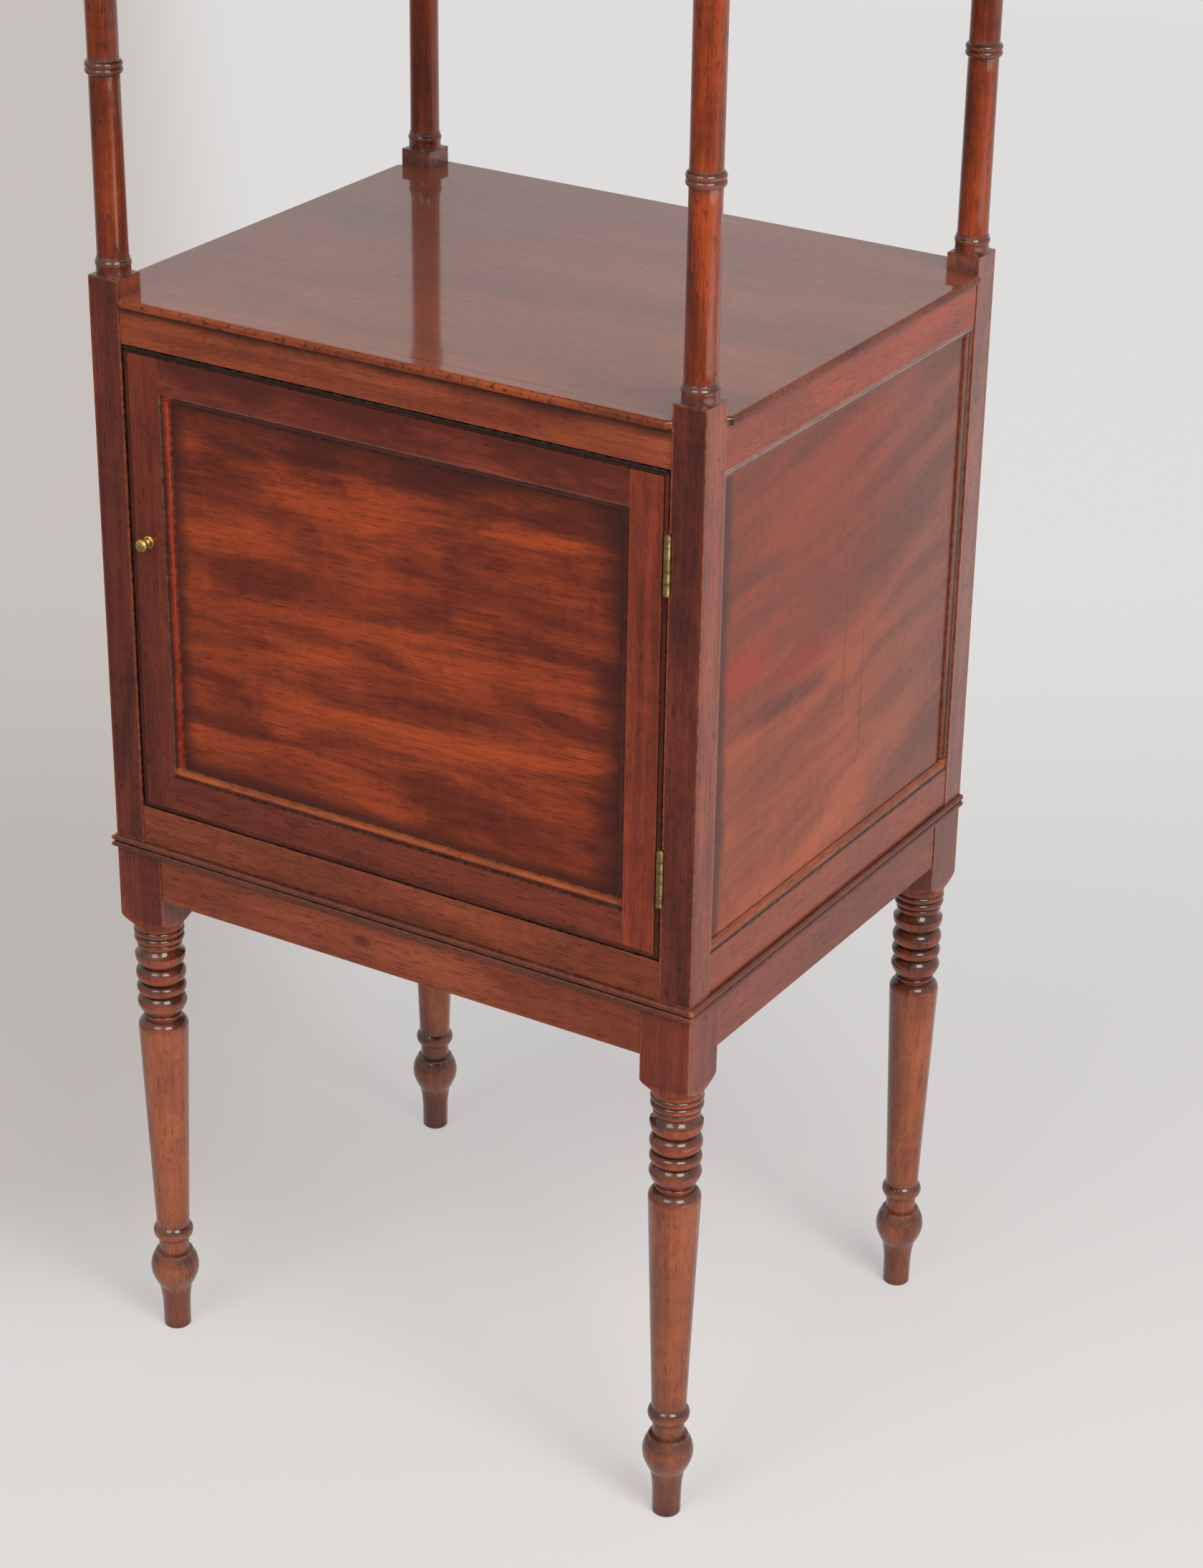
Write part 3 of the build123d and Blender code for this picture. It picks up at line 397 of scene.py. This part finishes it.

# Rails: planed mahogany, tenoned between the posts. The front top rail has a painted shadow under
# the nosing of the cupboard top.
rail_edge = 0.0005
top_rail_tones = (166, 82, 50), (100, 46, 32)
top_rail_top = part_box("front_top_rail")[1][2]
top_rail_wood = polished_wood(
    "top rail mahogany", "X", *top_rail_tones, band_size=(26, 5), contrast=0.7,
    # painted shadow under the nosing
    fleck_share=0.25, dusk=(("Z", top_rail_top, -0.010),),
)
dress(top_rail_wood, "front_top_rail", edge=rail_edge)
dress(cross_wood, "front_bottom_rail", edge=rail_edge)
dress(side_wood, "side_bottom_rail_left", "side_bottom_rail_right", edge=rail_edge)
dress(side_wood, "side_top_rail_left", "side_top_rail_right", edge=rail_edge)

# Side panels: wide mahogany boards held loose in grooves, with a broad dark and red figure that
# climbs a little towards the back, painted lighter towards the bottom as light and greyer towards
# the back as a painted sheen. The right one shows a red patch and two shrinkage cracks.
panel_tones = (138, 58, 36), (98, 46, 32)
# painted light towards the bottom and painted sheen towards the back
lit_lower_panel_tones = (168, 84, 50), (120, 58, 40)
sheen_back_panel_tones = (138, 78, 62), (100, 60, 52)
panel_front_dusk = front_face + 0.038
panel_finish = dict(
    turn=(math.radians(-10), 0, 0), band_size=(24, 4.5), band_share=0.55, contrast=1.0,
    crispness=0.5, fleck_share=0.15, coat_weight=0.6, dusk=(("Y", panel_front_dusk, 0.012),),
    zones=(("Z", 0.72, 0.54, *lit_lower_panel_tones), ("Y", 0.00, 0.17, *sheen_back_panel_tones)),
)
red_patch = "Y", -0.140, 0.070, "Z", 0.672, 0.026, (160, 40, 14), 0.5
red_tail = "Y", -0.050, 0.060, "Z", 0.650, 0.018, (142, 34, 18), 0.5
lower_streak = "Y", -0.065, 0.085, "Z", 0.628, 0.014, (70, 32, 26), 0.65
upper_streak = "Y", -0.120, 0.060, "Z", 0.740, 0.012, (80, 40, 32), 0.45
middle_crack = "Y", 0.015, "Z", 0.585, 0.680, 0.0005
back_crack = "Y", 0.043, "Z", 0.545, 0.640, 0.0005
right_panel_wood = polished_wood(
    "right panel mahogany", "Y", *panel_tones, **panel_finish,
    patches=(red_patch, red_tail, lower_streak, upper_streak),
    cracks=(middle_crack, back_crack),
)
left_panel_wood = polished_wood("left panel mahogany", "Y", *panel_tones, **panel_finish)
dress(right_panel_wood, "side_panel_right")
dress(left_panel_wood, "side_panel_left")

# Side mouldings: four mitred strips of mahogany glued round each panel. On the back and bottom
# strips painted light brightens the beads and fillets between quirks darkened by painted shade
# and dirt, and the top one has a pale line along its upper edge, partly painted highlight and
# partly wax.
trim_low, trim_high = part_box("side_panel_moulding_left")
trim_back = trim_high[1]
trim_foot = trim_low[2]
trim_top = trim_high[2]
trim_tones = (118, 62, 48), (82, 42, 34)
# quirks: painted shade and dirt; beads and fillets: painted light; top fillet: painted highlight
# with wax
quirk_shade_and_dirt_tones = (66, 44, 34), (44, 28, 22)
lit_back_bead_tones = (132, 58, 40), (84, 38, 28)
lit_back_fillet_tones = (150, 78, 46), (96, 48, 32)
lit_foot_bead_tones = (164, 82, 42), (104, 50, 30)
highlight_and_wax_top_fillet_tones = (152, 120, 106), (112, 84, 74)
trim_wood = polished_wood(
    "side moulding mahogany", "Y", *trim_tones, band_share=0.2, wear_share=0.2,
    zones=(
        ("Y", trim_back - 0.0120, trim_back - 0.0110, *quirk_shade_and_dirt_tones),
        ("Y", trim_back - 0.0098, trim_back - 0.0090, *lit_back_bead_tones),
        ("Y", trim_back - 0.0056, trim_back - 0.0050, *quirk_shade_and_dirt_tones),
        ("Y", trim_back - 0.0036, trim_back - 0.0030, *lit_back_fillet_tones),
        ("Z", trim_foot + 0.0120, trim_foot + 0.0110, *quirk_shade_and_dirt_tones),
        ("Z", trim_foot + 0.0100, trim_foot + 0.0092, *lit_foot_bead_tones),
        ("Z", trim_foot + 0.0034, trim_foot + 0.0026, *quirk_shade_and_dirt_tones),
        ("Z", trim_top - 0.0040, trim_top - 0.0030, *highlight_and_wax_top_fillet_tones),
    ),
)
dress(trim_wood, "side_panel_moulding_left", "side_panel_moulding_right")

# Inside and back: unpolished softwood, aged to a dull brown. The floor lies on two bearers,
# small blocks are glued into its corners, and two strips stop the door.


def bare_wood(name, grain, light, dark):
    """Unpolished old wood with its grain along one axis."""
    ring_size = 60, 1.2
    fibre_size = 500, 10
    stain_tone = tone(60, 42, 30)
    material, shader, start = new_material(name)
    place = start.node("ShaderNodeTexCoord", output="Object")
    rings = place.noise(grain_scale(grain, *ring_size), 4.0, 0.6, 0.5)
    fibres = place.noise(grain_scale(grain, *fibre_size), 3.0, 0.6)
    stains = place.noise(even_scale(5), 4.0, 0.6).eased(0.5, 0.8)
    colour = (rings.eased(0.35, 0.65) * 0.7 + fibres * 0.3).blend(tone(*light), tone(*dark))
    colour = (stains * 0.5).blend(colour, stain_tone)
    colour.feed(shader.inputs["Base Color"])
    (0.62 + fibres * 0.2).feed(shader.inputs["Roughness"])
    start.bump(fibres + rings, strength=0.4, depth=0.0004).feed(shader.inputs["Normal"])
    return material


bare_tones = (170, 120, 82), (120, 78, 52)
inner_cross_wood = bare_wood("inner wood across", "X", *bare_tones)
inner_side_wood = bare_wood("inner wood deep", "Y", *bare_tones)
dress(inner_cross_wood, "cupboard_floor", "glue_blocks", "door_stop_top", "door_stop_bottom")
dress(inner_cross_wood, "back_panel", "back_bottom_rail", "back_top_rail", "base_frame_back")
dress(inner_side_wood, "floor_bearer_left", "floor_bearer_right")

# Cupboard top and upper shelf: wide polished mahogany boards, notched round the posts, with a
# nosing that is rubbed bare in places. The cupboard top has a long crack behind its front edge
# and a small chip beside the front right post, painted near black as the shade inside it.
board_low, board_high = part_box("cupboard_top")
board_front = board_low[1]
board_right = board_high[0]
board_tones = (146, 77, 52), (106, 54, 38)
front_nosing_tones = (160, 78, 44), (86, 42, 29)
side_nosing_tones = (128, 64, 46), (78, 40, 30)
front_nosing_rubbed = 0.7
side_nosing_rubbed = 0.6
board_finish = dict(
    band_size=(14, 3), contrast=0.8, crispness=0.7, fleck_share=0.2, wear_share=0.7,
    coat_weight=1.0, coat_roughness=0.07,
    zones=(
        ("X", board_right - 0.003, board_right - 0.001, *side_nosing_tones, side_nosing_rubbed),
        ("Y", board_front + 0.004, board_front + 0.002, *front_nosing_tones, front_nosing_rubbed),
    ),
)
front_crack = "Y", board_front + 0.0135, "X", -0.02, 0.212, 0.0008
# the chip is painted near black, as the shade inside the hole
corner_chip_shade = "X", board_right, 0.0050, "Y", -0.1740, 0.0050, (24, 15, 12), 1.0
top_wood = polished_wood(
    "cupboard top mahogany", "X", *board_tones, **board_finish,
    cracks=(front_crack,), patches=(corner_chip_shade,),
)
shelf_wood = polished_wood("shelf mahogany", "X", *board_tones, **board_finish)
dress(top_wood, "cupboard_top")
dress(shelf_wood, "upper_shelf")

# Door frame: two stiles and two rails of mahogany, mortised together, with a cock bead let in
# round the outer edge. The rails are darker along the top, and the top of the cock bead holds a
# painted shadow under the front top rail.
door_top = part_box("door_cock_bead")[1][2]
catch_stile_tones = (124, 54, 38), (74, 34, 27)
hinge_stile_tones = (154, 66, 42), (92, 40, 29)
stile_wood = polished_wood(
    "stile mahogany", "Z", *catch_stile_tones, band_size=(30, 3), band_share=0.3, contrast=0.9,
    zones=(("X", 0.0, 0.001, *hinge_stile_tones),), fleck_share=0.3,
)
door_rail_tones = (144, 64, 44), (94, 42, 32)
lower_door_rail_tones = (130, 59, 41), (86, 38, 29)
door_rail_wood = polished_wood(
    "door rail mahogany", "X", *door_rail_tones, band_size=(30, 6), contrast=0.9,
    crispness=0.9, dusk=(("Z", door_top, -0.045),), dusk_tone=(74, 32, 25),
    zones=(("Z", between_rails, between_rails - 0.04, *lower_door_rail_tones),),
)
cock_bead_tones = (104, 45, 34), (62, 29, 25)
# painted shadow along the top of the cock bead, under the front top rail
rail_shadow_tones = (36, 20, 17), (26, 15, 13)
cock_bead_wood = polished_wood(
    "cock bead mahogany", "Z", *cock_bead_tones, wear_share=0, coat_weight=0.2,
    zones=(("Z", door_top - 0.0032, door_top - 0.0018, *rail_shadow_tones),),
)
dress(stile_wood, "door_stile_catch", "door_stile_hinge")
dress(door_rail_wood, "door_rail_top", "door_rail_bottom")
dress(cock_bead_wood, "door_cock_bead")

# Door moulding: an ovolo of mahogany, mitred round the panel. Its left strip carries a painted
# red glint and its bottom strip painted orange light, between dark quirks; its top fillet is a
# painted pale reflection and its left fillet is grey with wax.
ovolo_low, ovolo_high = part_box("door_panel_moulding")
ovolo_left = ovolo_low[0]
ovolo_right = ovolo_high[0]
ovolo_foot = ovolo_low[2]
ovolo_top = ovolo_high[2]
ovolo_tones = (96, 44, 34), (62, 30, 26)
# painted reflection on the top fillet, painted red glint on the left strip, painted light on the
# bottom strip
reflection_top_tones = (140, 100, 86), (104, 72, 62)
red_glint_tones = (158, 50, 20), (102, 34, 18)
waxed_left_tones = (118, 88, 74), (78, 50, 42)
lit_orange_strip_tones = (174, 88, 46), (116, 56, 34)
ovolo_wood = polished_wood(
    "door moulding mahogany", "X", *ovolo_tones, band_share=0.2, wear_share=0, wax_share=0.7,
    coat_weight=0.35,
    zones=(
        ("Z", ovolo_top - 0.0018, ovolo_top - 0.0010, *reflection_top_tones),
        ("X", ovolo_left + 0.0105, ovolo_left + 0.0095, *red_glint_tones),
        ("X", ovolo_left + 0.0045, ovolo_left + 0.0035, *ovolo_tones),
        ("X", ovolo_left + 0.0016, ovolo_left + 0.0010, *waxed_left_tones),
        ("Z", ovolo_foot + 0.0088, ovolo_foot + 0.0080, *lit_orange_strip_tones),
        ("Z", ovolo_foot + 0.0040, ovolo_foot + 0.0030, *ovolo_tones),
    ),
)
dress(ovolo_wood, "door_panel_moulding")

# Door panel: mahogany veneer with orange and dark stripes across it, on a board that sits in the
# frame's grooves. It is darker round its edges.
stripe_tones = (170, 72, 34), (92, 37, 25)
ovolo_reveal = 0.008
door_panel_wood = polished_wood(
    "door panel mahogany", "X", *stripe_tones, turn=(0, math.radians(2), 0),
    band_size=(30, 5.5), band_share=0.55, contrast=1.1, crispness=0.9, fleck_share=0.12,
    dusk=(
        ("Z", ovolo_top - ovolo_reveal, -0.050),
        ("Z", ovolo_foot + ovolo_reveal, 0.015),
        ("X", ovolo_right - ovolo_reveal, -0.028),
        ("X", ovolo_left + ovolo_reveal, 0.014),
    ),
    dusk_tone=(66, 30, 24),
)
dress(door_panel_wood, "door_panel")

# Hinges, knob and catch: cast and turned brass. The hinges' leaves are let into post and stile
# and held by steel screws, and the knob's spindle turns the catch behind the stile.


def old_metal(name, bright, dull, roughness):
    """Cast or turned metal, gone dull in patches."""
    material, shader, start = new_material(name)
    place = start.node("ShaderNodeTexCoord", output="Object")
    dulled = place.noise(even_scale(160), 4.0, 0.6).eased(0.35, 0.7)
    grit = place.noise(even_scale(900), 2.0, 0.5)
    dulled.blend(tone(*bright), tone(*dull)).feed(shader.inputs["Base Color"])
    (roughness + dulled * 0.18 + grit * 0.1).feed(shader.inputs["Roughness"])
    shader.inputs["Metallic"].default_value = 1.0
    start.bump(grit, strength=0.4, depth=0.0002).feed(shader.inputs["Normal"])
    return material


levels = ("upper", "lower")
brass = old_metal("old brass", (226, 192, 118), (160, 128, 72), 0.3)
hinge_brass = old_metal("hinge brass", (190, 166, 114), (128, 104, 64), 0.32)
steel = old_metal("old screw steel", (150, 140, 122), (92, 78, 60), 0.35)
dress(hinge_brass, *(f"hinge_post_leaf_{level}" for level in levels))
dress(hinge_brass, *(f"hinge_door_leaf_{level}" for level in levels))
dress(hinge_brass, *(f"hinge_pin_{level}" for level in levels))
dress(steel, "hinge_screws_post", "hinge_screws_door")
dress(brass, "knob_rose", "door_knob", "catch_tongue")

# Floor: seamless pale paper under the stand, with painted shade on the left. Far out it glows, so
# that it meets the backdrop without a line. The polish mirrors it darker in front of the stand,
# and on the right as a glowing patch that paints highlight streaks.
floor_half = 14.0
floor_mesh = bpy.data.meshes.new("paper floor")
floor_mesh.from_pydata(
    [(-floor_half, -floor_half, 0), (floor_half, -floor_half, 0), (floor_half, floor_half, 0),
     (-floor_half, floor_half, 0)], [], [(0, 1, 2, 3)],
)
floor = bpy.data.objects.new("paper_floor", floor_mesh)
bpy.context.scene.collection.objects.link(floor)
paper, paper_shader, paper_start = new_material("paper")
paper_shader.inputs["Roughness"].default_value = 0.9
paper_shader.inputs["Specular IOR Level"].default_value = 0.1
spot_on_floor = paper_start.node("ShaderNodeTexCoord", output="Object")
floor_x = spot_on_floor.along("X")
floor_y = spot_on_floor.along("Y")

# Its colour, with painted shade on the left: away runs 31 degrees left of straight back, and
# sideways to the right of that
lit_tone = tone(225, 223, 222)
shade_tone = tone(200, 193, 189)
away_cos, away_sin = 0.857, 0.515
sideways = floor_x * away_cos + floor_y * away_sin
away = floor_y * away_cos - floor_x * away_sin
in_shade = (sideways + away * 0.146).eased(-0.04, -0.36) * away.eased(-0.10, 0.22)
pale = in_shade.blend(lit_tone, shade_tone)
pale.feed(paper_shader.inputs["Base Color"])

# What the polish mirrors: the dark end of the studio, and a glowing patch under the side lamp, no
# lamp itself, that paints highlight streaks on the rounded pieces
seen = paper_start.node("ShaderNodeLightPath", output="Is Camera Ray")
mirrored = paper_start.node("ShaderNodeLightPath", output="Is Glossy Ray")
passed = paper_start.node("ShaderNodeLightPath", output="Is Transmission Ray")
dark_end_tone = tone(60, 56, 54)
streak_glow = (2.6, 2.5, 2.4, 1.0)
nearer = (1 - floor_y.eased(0.4, 1.9)) * mirrored * 0.3
dark_end = floor_y.eased(-0.35, -0.9) * mirrored * 0.7
right_cos, right_sin = 0.906, 0.423
out_right = floor_x * right_cos - floor_y * right_sin
beside = floor_x * right_sin + floor_y * right_cos
on_streak_patch = beside.eased(-0.50, 0.0) * beside.eased(2.60, 0.60)
on_streak_patch = on_streak_patch * out_right.eased(1.1, 1.6) * out_right.eased(3.6, 3.0) * mirrored
glowing = nearer.blend(pale, dark_end_tone)
glowing = dark_end.blend(glowing, dark_end_tone)
glowing = on_streak_patch.blend(glowing, streak_glow)
glow = paper_start.node("ShaderNodeEmission", None, {"Color": glowing, "Strength": 1.0})

# How much of the glow shows: all of it in the polish, and a share that grows outwards elsewhere
far_out = paper_start.node(
    "ShaderNodeVectorMath", {"operation": "LENGTH"}, {0: spot_on_floor}, output="Value"
)
backdrop_glow = (away.eased(0.0, 1.6) * 0.45).larger(in_shade * 0.22)
backdrop_glow = backdrop_glow.larger(far_out.eased(2.0, 5.0) * 0.5)
glow_share = seen * (0.5 + backdrop_glow) + mirrored + passed
paper_lit = Thread(paper.node_tree, paper_shader.outputs[0])
paper_mix = paper_start.node(
    "ShaderNodeMixShader", None, {0: glow_share, 1: paper_lit, 2: glow}
)
paper_mix.feed(paper.node_tree.nodes["Material Output"].inputs["Surface"])
floor_mesh.materials.append(paper)

# Studio: a large soft light high on the right, a weaker one in front, a low one on the right
# that the polish doesn't mirror, and pale surroundings.
world = bpy.data.worlds.new("studio")
bpy.context.scene.world = world
world.use_nodes = True
world_tree = world.node_tree
background = world_tree.nodes["Background"]
world_seen = Thread(world_tree).node("ShaderNodeLightPath", output="Is Camera Ray")
world_mirrored = Thread(world_tree).node("ShaderNodeLightPath", output="Is Glossy Ray")
background.inputs["Color"].default_value = tone(222, 221, 220)
fill_light = 0.4
(fill_light + world_seen * 0.6 + world_mirrored * 0.55).feed(background.inputs["Strength"])


def soft_light(name, place, aim, size, power, warmth=(1, 1, 1), in_polish=True):
    """A square soft box at place that faces aim."""
    data = bpy.data.lights.new(name, "AREA")
    data.shape = "SQUARE"
    data.size = size
    data.energy = power
    data.color = warmth
    light = bpy.data.objects.new(name, data)
    light.location = place
    backwards = (Vector(place) - Vector(aim)).normalized()
    light.rotation_euler = backwards.to_track_quat("Z", "Y").to_euler()
    light.visible_camera = False
    light.visible_glossy = in_polish
    bpy.context.scene.collection.objects.link(light)


low_aim = (0, 0, 0.6)
middle_aim = (0, 0, 0.8)
soft_light("key light", (2.3, -1.38, 3.0), low_aim, size=1.6, power=72, warmth=(1, 0.99, 0.97))
soft_light("front light", (-0.14, -2.68, 3.0), low_aim, size=1.6, power=40)
soft_light("side light", (2.9, -0.9, 1.35), middle_aim, size=1.2, power=33, in_polish=False)

# Camera: a standing photographer in front of the right front corner, solved from the
# photograph's edges. Distances are in metres from the middle of the cupboard top.
photo_height = 2190
focal_pixels = 5054
optical_centre_pixels = 1250.4
azimuth = math.radians(31.29)
elevation = math.radians(27.35)
roll = math.radians(0.90)
camera_distance = 2.5695
camera_right = 0.0374
camera_up = -0.4382
panel_low, panel_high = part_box("side_panel_left")
middle = np.array([0.0, (panel_low[1] + panel_high[1]) / 2, board_top])
back = np.array([
    math.sin(azimuth) * math.cos(elevation),
    -math.cos(azimuth) * math.cos(elevation),
    math.sin(elevation),
])
level_right = np.array([math.cos(azimuth), math.sin(azimuth), 0.0])
level_up = np.cross(back, level_right)
right = math.cos(roll) * level_right + math.sin(roll) * level_up
up = -math.sin(roll) * level_right + math.cos(roll) * level_up
spot = middle + back * camera_distance + right * camera_right + up * camera_up
camera_data = bpy.data.cameras.new("photographer")
camera_data.sensor_width = 36.0
camera_data.lens = focal_pixels * camera_data.sensor_width / photo_height
camera_data.shift_y = (optical_centre_pixels - photo_height / 2) / photo_height
camera_data.clip_end = 100.0
camera = bpy.data.objects.new("photographer", camera_data)
stance = np.eye(4)
stance[:3, 0] = right
stance[:3, 1] = up
stance[:3, 2] = back
stance[:3, 3] = spot
camera.matrix_world = Matrix(stance.tolist())
bpy.context.scene.collection.objects.link(camera)
bpy.context.scene.camera = camera
bpy.context.scene.view_settings.view_transform = "Standard"
